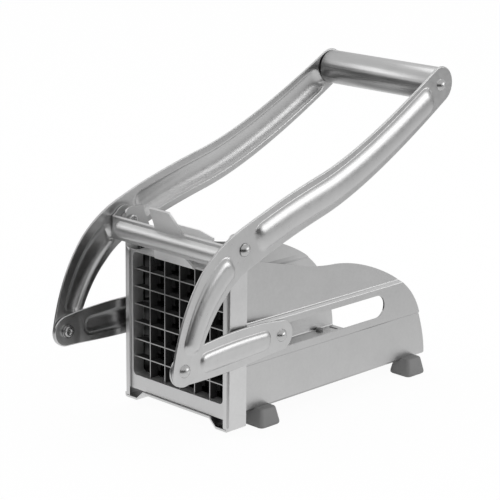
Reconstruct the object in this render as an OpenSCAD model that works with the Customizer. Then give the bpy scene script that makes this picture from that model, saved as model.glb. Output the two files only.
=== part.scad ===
// French fry cutter: a sheet steel trough on four rubber feet, with a folded front frame that
// holds a blade cartridge. A two-armed lever drives a peg block along the trough through two links.
// X runs across the part, +Y is the open rear of the trough and +Z is up. The part stands on Z = 0
// and its origin is the middle of the bottom of its bounding box. All sizes are in millimetres.
// Inside the modules Y is counted from the front face of the front frame; place() moves the origin.

/* [Trough] */
// How far the outer faces of the lower walls stand outside the cutting opening
wall_out = 1.5; // [1.2:0.1:5]
// Distance from the front frame's face to the rear edge of the walls
trough_l = 169.6; // [140:0.2:220]
// Height of the walls at the front, above the underside of the floor
wall_h = 88.7; // [70:0.1:120]
// Height of the floor's underside above the table
ride_h = 8.8; // [6:0.1:20]
// Thickness of the trough sheet
sheet_t = 1; // [0.6:0.1:2]
// Outer radius of the bends between floor and walls
trough_bend_r = 2; // [1:0.1:5]
// Distance from the slots' lower edges down to the lower crease
crease_under = 5; // [2:0.1:10]
// Distance from the slots' upper edges up to the upper crease
crease_over = 5.8; // [3:0.1:10]
// How far the band between the creases stands out from the lower wall
band_out = 0.9; // [0.3:0.1:2]
// How far the upper wall lies inside the lower wall
upper_in = 0.5; // [0:0.1:2]
// Height of the slots that the axle runs in
slot_h = 13.6; // [8:0.1:20]
// How far the middle of the slots lies below the axle
slot_drop = 2.5; // [0:0.1:5]
// Distance from the frame's rear edge to the front end of the slots
slot_front_in = 10; // [4:0.1:15]
// Distance from the rear edge of the walls to the rear end of the slots
slot_rear_in = 38.6; // [25:0.1:60]

/* [Front frame] */
// How far the frame's side plates stand outside the trough's lower walls
frame_out = 4; // [2.5:0.1:8]
// Depth of the front frame
frame_d = 14; // [12:0.1:30]
// Thickness of the frame sheet
frame_t = 1.2; // [0.8:0.1:2]
// Height of the underside of the frame's low corners above the table
frame_low = 3; // [1:0.1:6]
// Outer radius of the frame's bends
frame_bend_r = 1.5; // [1.3:0.1:5]
// Width of each folded front lip, from the outer face inward
lip_w = 3.8; // [2.5:0.1:8]
// Height of the top of the lips above the cutting opening
lip_over = 2.5; // [1:0.1:6]
// Height of the top of the ears above the lever's pivot
ear_over = 7.3; // [5:0.1:15]
// Length of the flat top of an ear
ear_l = 8.5; // [5:0.1:12]
// Corner radius at the front of an ear
ear_r = 4.2; // [2:0.1:6]
// Height of the slope from the ear's flat top down to the rear edge
ear_slope_h = 13; // [5:0.1:30]
// Depth that the ears reach behind the side plates
ear_back = 4.2; // [0:0.1:10]
// Height over which an ear narrows to the side plate below it
ear_under_h = 6; // [1:0.1:15]
// Width of each low corner of the frame's bottom
corner_w = 9.5; // [6:0.1:15]
// Width of each ramp beside the raised middle
ramp_w = 5; // [2:0.1:12]

/* [Feet] */
// Width and length of a foot at the table
foot_w = 15.6; // [10:0.1:25]
// Width and length of a foot at its top
foot_top_w = 11.6; // [8:0.1:20]
// Height of a foot
foot_h = 10.4; // [9:0.1:25]
// Height of a foot's straight edge at the table
foot_edge_h = 1.6; // [0.4:0.1:4]
// Corner radius of a foot
foot_r = 3.4; // [1:0.1:5]
// Distance from the frame's rear edge to the middle of the front feet
foot_front_in = 16.2; // [9:0.1:30]
// Distance from the rear edge of the walls to the middle of the rear feet
foot_rear_in = 15; // [8:0.1:40]
// Diameter of the stem that holds a foot in the floor
stem_d = 5; // [3:0.1:8]
// Distance of the stems from the trough's side walls
stem_in = 6; // [5:0.1:12]
// Diameter of the button on top of a stem
button_d = 7; // [5:0.1:12]
// Height of that button
button_h = 1.6; // [0.8:0.1:3]

/* [Lever] */
// Distance of the lever's pivot behind the frame's face
pivot_in = 4.8; // [4:0.1:12]
// Height of the lever's pivot above the table
pivot_h = 106.2; // [90:0.1:130]
// Distance from the pivot forward to the links' front pivot
front_fore = 43.3; // [30:0.1:60]
// Distance from the pivot down to the links' front pivot
front_drop = 57.1; // [40:0.1:70]
// Distance from the pivot back to the middle of the handle
handle_reach = 164.7; // [120:0.1:220]
// Height of the middle of the handle above the pivot
handle_rise = 67.1; // [40:0.1:90]
// How far the arms' outer faces stand outside the frame's side plates, at the pivot
arm_out = 7.1; // [5:0.1:15]
// How far each arm leans inward on its way to the handle
arm_taper = 5; // [0:0.1:10]
// Thickness of the arms
arm_t = 1.2; // [0.8:0.1:2]
// Width of the arms along their middle
arm_w = 24; // [16:0.1:36]
// Radius of the arms' front ends
arm_front_r = 8.7; // [6:0.1:12]
// Radius of the arms' handle ends
arm_handle_r = 10.8; // [8:0.1:16]
// Height of the pressed ribs on the arms
arm_rib_h = 2.4; // [0.5:0.1:5]
// Outer diameter of the handle tube
handle_d = 20; // [12:0.1:30]
// Wall of the handle tube
handle_wall = 1; // [0.6:0.1:3]
// Diameter of the rod through the handle
rod_d = 5; // [3:0.1:10]
// Length of each plug inside the handle
plug_l = 6; // [3:0.1:15]

/* [Links] */
// Distance of the axle and the links' rear ends behind the frame's face
axle_back = 40.2; // [35:0.1:60]
// Height of the axle above the table
axle_h = 49.9; // [45:0.1:55]
// How far the links' outer faces stand outside the trough's lower walls, at the axle
link_out = 5.1; // [2.6:0.1:10]
// Thickness of the links
link_t = 1.2; // [0.8:0.1:2]
// Width of the links along their middle
link_w = 21.6; // [14:0.1:30]
// Radius of the links' ends
link_end_r = 8.8; // [6:0.1:12]
// Height of the arch of the links' middle line
link_arch = 0.8; // [0:0.1:8]
// Height of the pressed ribs on the links
link_rib_h = 1.6; // [0.5:0.1:3]

/* [Gate] */
// Distance of the gate bar's face in front of the frame's face
gate_fore = 4.6; // [2.5:0.1:10]
// Height of the top edge of the gate bar above the lever's pivot
gate_over = 2.4; // [0:0.1:6]
// Height of the gate bar
gate_h = 12.6; // [8:0.1:20]
// Thickness of the gate sheet
gate_t = 1.2; // [0.8:0.1:2]
// Radius of the rib along the gate bar
gate_rib_r = 5; // [3:0.1:7]
// Distance from the middle of that rib back from the bar's face
gate_rib_in = 1.6; // [0.5:0.1:3]
// Distance of the rib's ends from the outer faces of the cheeks
gate_rib_end = 8; // [4:0.1:15]
// Radius of the cheeks round the pivot
cheek_r = 7.4; // [5:0.1:10]
// Width of the finger tab at its root
tab_root_w = 22.4; // [12:0.1:40]
// Width of the finger tab at its end
tab_end_w = 15.4; // [8:0.1:30]
// Length of the finger tab
tab_l = 15; // [8:0.1:25]
// Forward lean of the finger tab in degrees
tab_lean = 30; // [0:1:60]
// Width of the tongue where it leaves the bar
tongue_root_w = 24.4; // [12:0.1:40]
// Width of the tongue at its lower end
tongue_end_w = 31.6; // [16:0.1:50]
// Distance that the tongue runs down from the bar
tongue_h = 6.4; // [3:0.1:10]

/* [Blade cartridge] */
// Number of cells across
columns = 6; // [3:1:8]
// Number of cells up
rows = 7; // [3:1:9]
// Width of a cell from blade to blade
cell_w = 12; // [8:0.1:14]
// Height of a cell from blade to blade
cell_h = 10.3; // [8:0.1:14]
// Height of the lower edge of the cutting opening above the table
opening_low = 17.4; // [13:0.1:30]
// Thickness of the blades
blade_t = 0.6; // [0.4:0.05:1]
// Depth of the blades, front to rear
blade_d = 5.4; // [3:0.1:8]
// Distance of the blades behind the front of the cartridge
blade_in = 1.9; // [1:0.1:4]
// Depth of the cartridge
cartridge_d = 7.8; // [6:0.1:12]
// Thickness of the cartridge's walls
cartridge_t = 1; // [0.6:0.1:2]
// Thickness of the cartridge's front flange
flange_t = 0.7; // [0.5:0.05:1.2]
// Radius of the corners of the cutting opening
opening_r = 2.6; // [1:0.1:5]
// Width of the pull plate on top of the cartridge
pull_w = 42; // [20:0.1:60]
// Height of the pull plate above the cartridge
pull_h = 19; // [8:0.1:25]
// Width of the straight top of the pull plate
pull_top_w = 21; // [8:0.1:40]
// Drop of the sloped ends of its top
pull_drop = 2.2; // [0:0.1:6]

/* [Pusher] */
// Length of the pegs
peg_l = 18.4; // [10:0.1:30]
// Space left round each peg in its cell
peg_gap = 1.1; // [0.6:0.05:2]
// Thickness of the plastic base behind the pegs
base_t = 3.5; // [2:0.1:8]
// Space between the trough's walls and the pusher
pusher_side = 0.9; // [0.4:0.1:3]
// Thickness of the pusher's metal plate
plate_t = 1.2; // [0.8:0.1:2]
// How far the top of the metal plate lies below the top of the cutting opening
plate_drop = 0.8; // [0:0.1:5]
// Space between the pusher and the trough's floor
floor_gap = 0.3; // [0.1:0.05:1]
// Length of the metal plate's side ears and foot
carriage_l = 12; // [8:0.1:30]
// Space left beside the foot buttons by the metal plate's foot
foot_gap = 0.6; // [0.3:0.1:2]
// Height of the side ears
carriage_ear_h = 16; // [10:0.1:30]
// Distance from the rear face of the metal plate to the middle of the axle
axle_behind = 4.5; // [3.5:0.1:10]
// Diameter of the axle
axle_d = 5; // [3:0.1:8]
// Diameter of the pusher's screws
screw_d = 3; // [2:0.1:5]
// Diameter of the screw heads
screw_head_d = 5.6; // [4:0.1:9]
// Height of the screw heads
screw_head_h = 1.7; // [1:0.1:3]
// Distance of the screws from the sides and ends of the peg base
screw_in = 10; // [5:0.1:20]
// Length of a screw inside the pegs
screw_l = 9; // [4:0.1:16]

/* [Rivets] */
// Diameter of the rivets' shanks
rivet_d = 4; // [3:0.1:6]
// Diameter of the domed heads
head_d = 7.4; // [5:0.1:12]
// Height of the domed heads
head_h = 2.2; // [1:0.1:4]
// Diameter of the closed tails inside the front frame
tail_d = 4.6; // [3.5:0.1:6]
// Height of the closed tails
tail_h = 1.3; // [0.6:0.1:3]
// Outer diameter of the spacers between frame and gate
spacer_d = 7; // [5:0.1:12]

/* [Clearances] */
// Radial clearance of a moving joint
run_gap = 0.06; // [0.02:0.01:0.1]
// Gap between sheets that move past each other
side_gap = 0.3; // [0.2:0.05:1]
// Gap between the cartridge and what guides it
slip_gap = 0.2; // [0.1:0.05:0.6]
// Gap between the cartridge and the trough's front edge
end_gap = 0.6; // [0.3:0.1:1.5]
// Width that the blades' slots have over the blades
lap_gap = 0.1; // [0.05:0.01:0.3]

/* [Hidden] */
$fn = 64;
curve_steps = 8;
end_steps = 24;
join_share = 0.2;
join = sheet_t * join_share;
overrun = trough_l;

opening_w = columns * cell_w;
opening_h = rows * cell_h;
opening_mid = opening_low + opening_h / 2;
opening_top = opening_low + opening_h;
trough_w = opening_w + 2 * wall_out;
frame_w = trough_w + 2 * frame_out;
lever_w = frame_w + 2 * arm_out;
link_rear_w = trough_w + 2 * link_out;
foot_front = frame_d + foot_front_in;
foot_rear = trough_l - foot_rear_in;

pivot = [pivot_in, pivot_h];
front_pivot = pivot + [-front_fore, -front_drop];
handle = pivot + [handle_reach, handle_rise];
axle = [axle_back, axle_h];
slot_front = frame_d + slot_front_in;
slot_rear = trough_l - slot_rear_in;
slot_z = axle_h - slot_drop;
low_crease_z = slot_z - slot_h / 2 - crease_under;
high_crease_z = slot_z + slot_h / 2 + crease_over;
lip_top = opening_top + lip_over;
ear_top = pivot_h + ear_over;
gate_top = pivot_h + gate_over;
origin_y = (front_pivot[0] - arm_front_r + handle[0] + arm_handle_r) / 2;

frame_in = frame_w / 2 - frame_t;
gate_x = lever_w / 2 - arm_t - side_gap;
cartridge_y = frame_t + slip_gap;
cartridge_rear = cartridge_y + cartridge_d;
trough_y = cartridge_rear + end_gap;
blade_y = cartridge_y + blade_in;
blade_mid_y = blade_y + blade_d / 2;
blade_slot_w = blade_t + lap_gap;
flare_y = frame_d - frame_t;
flare_end_y = frame_d + frame_t;
floor_top = ride_h + sheet_t;
rivet_hole_r = rivet_d / 2 + run_gap;

plate_y = axle_back - axle_behind - plate_t;
base_y = plate_y - base_t;
peg_y = base_y - peg_l;
pusher_x = trough_w / 2 - sheet_t - upper_in - pusher_side;
peg_w = cell_w - blade_t - 2 * peg_gap;
peg_h = cell_h - blade_t - 2 * peg_gap;

arm_bend_y = pivot_in + arm_w / 2;
arm_lean = arm_taper / (handle[0] - arm_bend_y);
// Half the outer width of the lever at a distance behind the frame's face.
function arm_x(y) = lever_w / 2 - arm_lean * max(0, y - arm_bend_y);
handle_half = arm_x(handle[0] + handle_d / 2) - arm_t - join;
link_bend_front = front_pivot[0] + link_end_r;
link_bend_rear = axle_back - link_end_r;
link_lean = (gate_x - link_rear_w / 2) / (link_bend_rear - link_bend_front);

// Control points of the arms' middle line, as shares of the sizes from the pivot to each end.
arm_front_shares = [-0.733, -0.214];
arm_rear_shares = [[0.16, 0.155], [0.366, 0.28], [0.603, 0.423]];
// Control points of the trough's upper edge, as shares of its length and its front height.
wall_shares = [
    [0.366, 0.848], [0.448, 0.807], [0.531, 0.8], [0.66, 0.776], [0.798, 0.638],
    [0.926, 0.51], [0.961, 0.318], [1, 0.126], [1, 0]
];
// Starts and ends of the ribs along the middle lines, and the ribs' width beside the sheet's.
lower_rib_shares = [0.184, 0.742];
upper_rib_shares = [0.094, 0.93];
link_rib_shares = [0.237, 0.81];
rib_width_share = 0.69;
lower_rib_width_share = 0.8;
link_rib_width_share = 0.57;
arm_widening_share = 0.65;

// Curves and outlines

// Points of a quadratic curve from a to c that is drawn towards b.
function curve(a, b, c, first = 0) = [
    for (i = [first:curve_steps]) let (t = i / curve_steps)
        (1 - t) * (1 - t) * a + 2 * t * (1 - t) * b + t * t * c
];
function spread(share_pair, size_pair) = [share_pair[0] * size_pair[0], share_pair[1] * size_pair[1]];
function from_pivot(share_pair) = pivot + spread(share_pair, [handle_reach, handle_rise]);
function side_of(points, i) =
    let (d = points[min(i + 1, len(points) - 1)] - points[max(i - 1, 0)]) [-d[1], d[0]] / norm(d);
// A half circle round p from the given side to the other one, without its two end points.
function round_end(p, r, side) = [
    for (i = [1:end_steps - 1]) let (a = 180 * i / end_steps)
        p + r * (cos(a) * side + sin(a) * [side[1], -side[0]])
];
// Outline of a strip of changing width along a middle line, with round ends.
function ribbon(points, halves) = let (last = len(points) - 1) concat(
    [for (i = [0:last]) points[i] + halves[i] * side_of(points, i)],
    round_end(points[last], halves[last], side_of(points, last)),
    [for (i = [last:-1:0]) points[i] - halves[i] * side_of(points, i)],
    round_end(points[0], halves[0], -side_of(points, 0))
);
function at_share(points, share) =
    let (last = len(points) - 1, i = min(floor(share * last), last - 1), rest = share * last - i)
    (1 - rest) * points[i] + rest * points[i + 1];
function between(points, shares) = let (last = len(points) - 1) concat(
    [at_share(points, shares[0])],
    [for (i = [0:last]) if (i > shares[0] * last && i < shares[1] * last) points[i]],
    [at_share(points, shares[1])]
);

arm_front_line = curve(front_pivot, pivot + spread(arm_front_shares, [front_fore, front_drop]), pivot);
arm_rear_line = concat(
    curve(pivot, from_pivot(arm_rear_shares[0]), from_pivot(arm_rear_shares[1]), 1),
    curve(from_pivot(arm_rear_shares[1]), from_pivot(arm_rear_shares[2]), handle, 1)
);
arm_front_halves = [
    for (i = [0:curve_steps])
        arm_front_r + (arm_w / 2 - arm_front_r) * min(1, i / curve_steps / arm_widening_share)
];
arm_rear_halves = [
    for (i = [1:2 * curve_steps])
        arm_w / 2 + (arm_handle_r - arm_w / 2) * max(0, i / curve_steps - 1)
];
link_line = curve(
    front_pivot, (front_pivot + axle) / 2 + [0, 2 * link_arch], axle
);
link_halves = [
    for (i = [0:curve_steps]) link_end_r + (link_w / 2 - link_end_r) * sin(180 * i / curve_steps)
];

module place() translate([0, -origin_y, 0]) children();
// An outline in Y and Z, drawn out across X from x0 to x1.
module across(x0, x1) translate([x0, 0, 0]) rotate([90, 0, 90]) linear_extrude(x1 - x0) children();
// An outline in X and Z, drawn out along Y from y0 to y1.
module along(y0, y1) translate([0, y1, 0]) rotate([90, 0, 0]) linear_extrude(y1 - y0) children();
module both_sides() {
    children();
    mirror([1, 0, 0]) children();
}
// A round bar across X at a place in Y and Z.
module bar(p, x0, x1, r) translate([x0, p[0], p[1]]) rotate([0, 90, 0]) cylinder(r = r, h = x1 - x0);
// A turned piece whose outline has its radius along X and its length along Y, laid across X.
module turned(p, x0) translate([x0, p[0], p[1]]) rotate([0, 90, 0]) rotate_extrude() children();
module dome_outline(d, h) {
    ball_r = (d * d / 4 + h * h) / (2 * h);
    intersection() {
        translate([0, h - ball_r]) circle(r = ball_r);
        square([d, h]);
    }
}
// A rivet with a flat tail before its shank, which ends in a domed head.
module rivet(p, tail_x, tail, shank_x, head_x) turned(p, 0) {
    translate([0, tail_x]) square([tail / 2, shank_x - tail_x]);
    translate([0, tail_x]) square([rivet_d / 2, head_x - tail_x]);
    translate([0, head_x]) dome_outline(head_d, head_h);
}
module rounded_square(size, r) {
    translate([-size[0] / 2, -size[1] / 2 + r]) square([size[0], size[1] - 2 * r]);
    translate([-size[0] / 2 + r, -size[1] / 2]) square([size[0] - 2 * r, size[1]]);
    for (x = [-1, 1], y = [-1, 1])
        translate([x * (size[0] / 2 - r), y * (size[1] / 2 - r)]) circle(r = r);
}
// A U outline's outer shape: a wide bottom at height z with rounded lower corners.
module tub(w, z, top, r) {
    translate([-w / 2, z + r]) square([w, top - z - r]);
    translate([-w / 2 + r, z]) square([w - 2 * r, r]);
    for (x = [-1, 1]) translate([x * (w / 2 - r), z + r]) circle(r = r);
}

// Trough

module wall_outline() {
    edge = [for (s = wall_shares) [0, ride_h] + spread(s, [trough_l, wall_h])];
    polygon(concat(
        [[trough_y, ride_h], [trough_y, ride_h + wall_h]],
        curve(edge[0], edge[1], edge[2]), curve(edge[2], edge[3], edge[4], 1),
        curve(edge[4], edge[5], edge[6], 1), curve(edge[6], edge[7], edge[8], 1)
    ));
}
// The wall's section on the +X side, stepped out between the two creases.
module wall_section() {
    x = trough_w / 2;
    low = low_crease_z;
    high = high_crease_z;
    top = ride_h + wall_h;
    polygon([
        [x, ride_h + trough_bend_r], [x, low], [x + band_out, low + band_out],
        [x + band_out, high - band_out - upper_in], [x - upper_in, high], [x - upper_in, top],
        [x - upper_in - sheet_t, top], [x - upper_in - sheet_t, high - sheet_t / 2],
        [x + band_out - sheet_t, high - band_out - upper_in - sheet_t / 2],
        [x + band_out - sheet_t, low + band_out + sheet_t / 2],
        [x - sheet_t, low + sheet_t / 2], [x - sheet_t, ride_h + trough_bend_r]
    ]);
}
module trough_bottom() {
    bend_top = ride_h + 2 * trough_bend_r;
    difference() {
        tub(trough_w, ride_h, bend_top, trough_bend_r);
        tub(trough_w - 2 * sheet_t, floor_top, bend_top + join, trough_bend_r - sheet_t);
    }
}
// The walls' front ends flare out to meet the front frame's side plates.
module trough_flare() {
    x = trough_w / 2;
    linear_extrude(ride_h + wall_h)
        polygon([
            [frame_in, trough_y], [frame_in, flare_y], [x, flare_end_y], [x, flare_end_y + frame_t],
            [x - sheet_t - upper_in, flare_end_y + frame_t], [x - sheet_t - upper_in, flare_end_y],
            [frame_in - sheet_t, flare_y], [frame_in - sheet_t, trough_y]
        ]);
}
module slot_outline() {
    r = slot_h / 2;
    translate([slot_front + r, slot_z - r]) square([slot_rear - slot_front - slot_h, slot_h]);
    for (y = [slot_front + r, slot_rear - r]) translate([y, slot_z]) circle(r = r);
}
module trough() color("silver") place() difference() {
    union() {
        along(flare_end_y, trough_l) {
            trough_bottom();
            both_sides() wall_section();
        }
        intersection() {
            both_sides() trough_flare();
            along(trough_y, trough_l) translate([-frame_w / 2, ride_h]) square([frame_w, wall_h]);
        }
        along(trough_y, flare_end_y + join)
            translate([-trough_w / 2 + sheet_t, ride_h]) square([trough_w - 2 * sheet_t, sheet_t]);
        along(trough_y, flare_end_y + join) both_sides()
            translate([trough_w / 2 - 2 * sheet_t, ride_h])
                square([frame_in - trough_w / 2 + 2 * sheet_t - join, sheet_t]);
    }
    difference() {
        across(-overrun, overrun) translate([-overrun, -overrun]) square(3 * overrun);
        across(-overrun, overrun) wall_outline();
    }
    across(-overrun, overrun) slot_outline();
    for (x = [-1, 1], y = [foot_front, foot_rear])
        translate([x * (trough_w / 2 - stem_in), y, 0]) cylinder(d = stem_d, h = overrun);
}

// Front frame

module frame_side_outline() polygon(concat(
    [[0, 0], [0, ear_top - ear_r]],
    [for (i = [1:curve_steps]) let (a = 180 - 90 * i / curve_steps)
        [ear_r, ear_top - ear_r] + ear_r * [cos(a), sin(a)]],
    [
        [ear_r + ear_l, ear_top], [frame_d + ear_back, ear_top - ear_slope_h],
        [frame_d, ear_top - ear_slope_h - ear_under_h], [frame_d, 0]
    ]
));
module frame_plan() {
    depth = frame_d + ear_back;
    difference() {
        translate([0, depth]) rounded_square([frame_w, 2 * depth], frame_bend_r);
        translate([0, depth]) rounded_square([2 * frame_in, 2 * (depth - frame_t)], frame_bend_r - frame_t);
        translate([-frame_w / 2 + lip_w, -depth]) square([frame_w - 2 * lip_w, 2 * depth]);
        translate([-frame_w, depth]) square([2 * frame_w, 2 * depth]);
    }
}
// The bottom: low corners, ramps and a raised middle whose top carries the trough's floor.
module frame_bottom() {
    low = frame_low + frame_t;
    foot_x = frame_w / 2 - corner_w;
    raised_x = foot_x - ramp_w;
    difference() {
        tub(frame_w, frame_low, low + frame_bend_r, frame_bend_r);
        tub(2 * frame_in, low, low + 2 * frame_bend_r, frame_bend_r - frame_t);
        translate([-foot_x, 0]) square([2 * foot_x, low + frame_bend_r]);
    }
    polygon([
        [-foot_x, frame_low], [-foot_x, low], [-raised_x, ride_h], [raised_x, ride_h],
        [foot_x, low], [foot_x, frame_low], [raised_x, ride_h - frame_t],
        [-raised_x, ride_h - frame_t]
    ]);
}
module front_frame() color("silver") place() difference() {
    intersection() {
        union() {
            translate([0, 0, frame_low + frame_bend_r]) linear_extrude(ear_top) frame_plan();
            along(0, frame_d) frame_bottom();
        }
        across(-frame_w, frame_w) frame_side_outline();
    }
    // The lips end in a round cut.
    both_sides() along(-frame_t, frame_t + join) difference() {
        translate([0, lip_top - lip_w]) square([frame_w / 2 - frame_t, ear_top]);
        translate([frame_w / 2, lip_top - lip_w]) circle(r = lip_w);
    }
    bar(pivot, -frame_w, frame_w, rivet_d / 2);
}

// Feet

module foot_outline(w) rounded_square([w, w], foot_r * w / foot_w);
// A tapered rubber block under a wall, with a stem and button through the trough's floor.
module foot(side, y) color("dimgray") place() {
    stem_x = side * (trough_w / 2 - stem_in);
    difference() {
        translate([side * trough_w / 2, y, 0]) hull() {
            linear_extrude(foot_edge_h) foot_outline(foot_w);
            translate([0, 0, foot_h - join]) linear_extrude(join) foot_outline(foot_top_w);
        }
        along(0, 2 * overrun) tub(trough_w, ride_h, ride_h + wall_h, trough_bend_r);
    }
    translate([stem_x, y, ride_h - join]) cylinder(d = stem_d, h = sheet_t + 2 * join);
    translate([stem_x, y, floor_top]) cylinder(d = button_d, h = button_h);
}
module foot_front_left() foot(-1, foot_front);
module foot_front_right() foot(1, foot_front);
module foot_rear_left() foot(-1, foot_rear);
module foot_rear_right() foot(1, foot_rear);

// Pivots of the lever and the gate

module pivot_spacers() color("gainsboro") place() both_sides() difference() {
    bar(pivot, frame_w / 2, gate_x - gate_t - side_gap, spacer_d / 2);
    bar(pivot, 0, overrun, rivet_d / 2);
}
module pivot_rivets() color("gainsboro") place() both_sides()
    rivet(pivot, frame_in - tail_h, tail_d, frame_in, lever_w / 2 + side_gap);

// Lever

// The plan of an arm's sheet between two offsets from its outer face.
module arm_plan(inner, outer) {
    ys = [front_pivot[0] - 2 * arm_front_r, arm_bend_y, handle[0] + 2 * arm_handle_r];
    polygon(concat(
        [for (y = ys) [arm_x(y) + outer, y]],
        [for (i = [2:-1:0]) [arm_x(ys[i]) + inner, ys[i]]]
    ));
}
module arm_sheet(inner, outer) intersection() {
    across(0, overrun) children();
    linear_extrude(handle[1] + overrun) arm_plan(inner, outer);
}
module arm_outline()
    polygon(ribbon(concat(arm_front_line, arm_rear_line), concat(arm_front_halves, arm_rear_halves)));
// A rib's outline along a middle line, narrowed all round by inset.
module rib_outline(points, half, inset) polygon(ribbon(points, [for (p = points) half - inset]));
module arm_ribs(inset) {
    half = rib_width_share * arm_w / 2;
    rib_outline(between(arm_front_line, lower_rib_shares), half * lower_rib_width_share, inset);
    rib_outline(between(arm_rear_line, upper_rib_shares), half, inset);
}
module lever_arm() difference() {
    union() {
        arm_sheet(-arm_t, 0) arm_outline();
        arm_sheet(-arm_t / 2, arm_rib_h) arm_ribs(0);
    }
    arm_sheet(-2 * arm_t, arm_rib_h - arm_t) arm_ribs(arm_t);
    bar(pivot, 0, overrun, rivet_hole_r);
    bar(front_pivot, 0, overrun, rivet_d / 2);
    bar(handle, 0, overrun, rod_d / 2);
}
module lever_arm_right() color("silver") place() lever_arm();
module lever_arm_left() color("silver") place() mirror([1, 0, 0]) lever_arm();

module handle_tube() color("silver") place() difference() {
    bar(handle, -handle_half, handle_half, handle_d / 2);
    bar(handle, -overrun, overrun, handle_d / 2 - handle_wall);
}
module handle_plugs() color("black") place() both_sides() difference() {
    bar(handle, handle_half - plug_l, handle_half, handle_d / 2 - handle_wall);
    bar(handle, 0, overrun, rod_d / 2);
}
module handle_rod() color("gainsboro") place() {
    head_x = arm_x(handle[0] - head_d / 2);
    turned(handle, -head_x) {
        square([rod_d / 2, 2 * head_x]);
        translate([0, 2 * head_x]) dome_outline(head_d, head_h);
        mirror([0, 1]) dome_outline(head_d, head_h);
    }
}
module front_rivets() color("gainsboro") place() both_sides() {
    tail_x = gate_x - link_t - side_gap;
    rivet(front_pivot, tail_x - tail_h, head_d, tail_x, lever_w / 2);
}

// Links

// The plan of a link's sheet: level at both ends and leaning inward to the rear between them.
function link_x(y) = gate_x - link_lean * (min(max(y, link_bend_front), link_bend_rear) - link_bend_front);
module link_sheet(inner, outer) intersection() {
    ys = [front_pivot[0] - 2 * link_end_r, link_bend_front, link_bend_rear, axle_back + 2 * link_end_r];
    across(0, overrun) children();
    linear_extrude(pivot_h) polygon(concat(
        [for (y = ys) [link_x(y) + outer, y]],
        [for (i = [3:-1:0]) [link_x(ys[i]) + inner, ys[i]]]
    ));
}
module link_outline() polygon(ribbon(link_line, link_halves));
module link_rib(inset)
    rib_outline(between(link_line, link_rib_shares), link_rib_width_share * link_w / 2, inset);
module link() difference() {
    union() {
        link_sheet(-link_t, 0) link_outline();
        link_sheet(-link_t / 2, link_rib_h) link_rib(0);
    }
    link_sheet(-2 * link_t, link_rib_h - link_t) link_rib(link_t);
    bar(front_pivot, 0, overrun, rivet_hole_r);
    bar(axle, 0, overrun, rivet_d / 2);
}
module link_right() color("silver") place() link();
module link_left() color("silver") place() mirror([1, 0, 0]) link();
module rear_rivet() {
    x = link_rear_w / 2;
    rivet(axle, x - link_t, rivet_d, x, x);
}
module rear_rivet_right() color("gainsboro") place() rear_rivet();
module rear_rivet_left() color("gainsboro") place() mirror([1, 0, 0]) rear_rivet();

// Gate

module gate_plan() difference() {
    translate([0, pivot_in]) rounded_square([2 * gate_x, 2 * (pivot_in + gate_fore)], frame_bend_r);
    translate([0, pivot_in])
        rounded_square([2 * (gate_x - gate_t), 2 * (pivot_in + gate_fore - gate_t)], frame_bend_r - gate_t);
    translate([-gate_x, pivot_in]) square([2 * gate_x, 2 * pivot_in]);
}
module cheek_outline() {
    low = gate_top - gate_h;
    polygon([
        [-gate_fore, low], [-gate_fore, gate_top], [pivot_in, pivot_h + cheek_r],
        [pivot_in, pivot_h - cheek_r], [pivot_in - cheek_r, low]
    ]);
}
module gate_rib_body(r) {
    x = gate_x - gate_rib_end;
    p = [-gate_fore + gate_rib_in, gate_top - gate_h / 2];
    bar(p, -x, x, r);
    for (side = [-1, 1]) translate([side * x, p[0], p[1]]) sphere(r = r);
}
// A flat flap that leaves an edge at a place in Y and Z, turned from straight up by an angle.
module flap(p, angle, l, root_w, end_w)
    translate([0, p[0], p[1]]) rotate([angle, 0, 0]) along(0, gate_t)
        polygon([[-root_w / 2, 0], [-end_w / 2, l], [end_w / 2, l], [root_w / 2, 0]]);
module gate_bar() color("silver") place() {
    low = gate_top - gate_h;
    tongue_back = gate_fore - gate_t / 2;
    tongue_angle = atan2(tongue_back, tongue_h);
    difference() {
        union() {
            intersection() {
                translate([0, 0, low - gate_h]) linear_extrude(3 * gate_h) gate_plan();
                across(-overrun, overrun) cheek_outline();
            }
            both_sides() bar(pivot, gate_x - gate_t, gate_x, cheek_r);
            intersection() {
                gate_rib_body(gate_rib_r);
                across(-overrun, overrun) translate([-gate_fore - gate_h, low])
                    square([gate_h + gate_t / 2, gate_h]);
            }
        }
        gate_rib_body(gate_rib_r - gate_t);
        bar(pivot, -overrun, overrun, rivet_hole_r);
    }
    flap([-gate_fore, gate_top - join], tab_lean, tab_l, tab_root_w, tab_end_w);
    mirror([0, 0, 1])
        flap([-gate_fore, -low - join], -tongue_angle, tongue_h / cos(tongue_angle), tongue_root_w,
             tongue_end_w);
}

// Blade cartridge

module opening_2d(grow) translate([0, opening_mid])
    rounded_square([opening_w + 2 * grow, opening_h + 2 * grow], opening_r + grow);
module cartridge_frame() color("silver") place() {
    flange_low = ride_h + slip_gap;
    flange_h = opening_top + cartridge_t - flange_low;
    flange_x = frame_in - frame_bend_r + frame_t;
    along(cartridge_y, cartridge_rear) difference() {
        opening_2d(cartridge_t);
        opening_2d(0);
    }
    along(cartridge_y, cartridge_y + flange_t) difference() {
        translate([-flange_x, flange_low]) square([2 * flange_x, flange_h]);
        opening_2d(cartridge_t / 2);
    }
    along(cartridge_rear - cartridge_t, cartridge_rear)
        translate([0, opening_top + cartridge_t / 2]) polygon([
            [-pull_w / 2, 0], [-pull_w / 2, pull_h - pull_drop], [-pull_top_w / 2, pull_h],
            [pull_top_w / 2, pull_h], [pull_w / 2, pull_h - pull_drop], [pull_w / 2, 0]
        ]);
}
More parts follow.
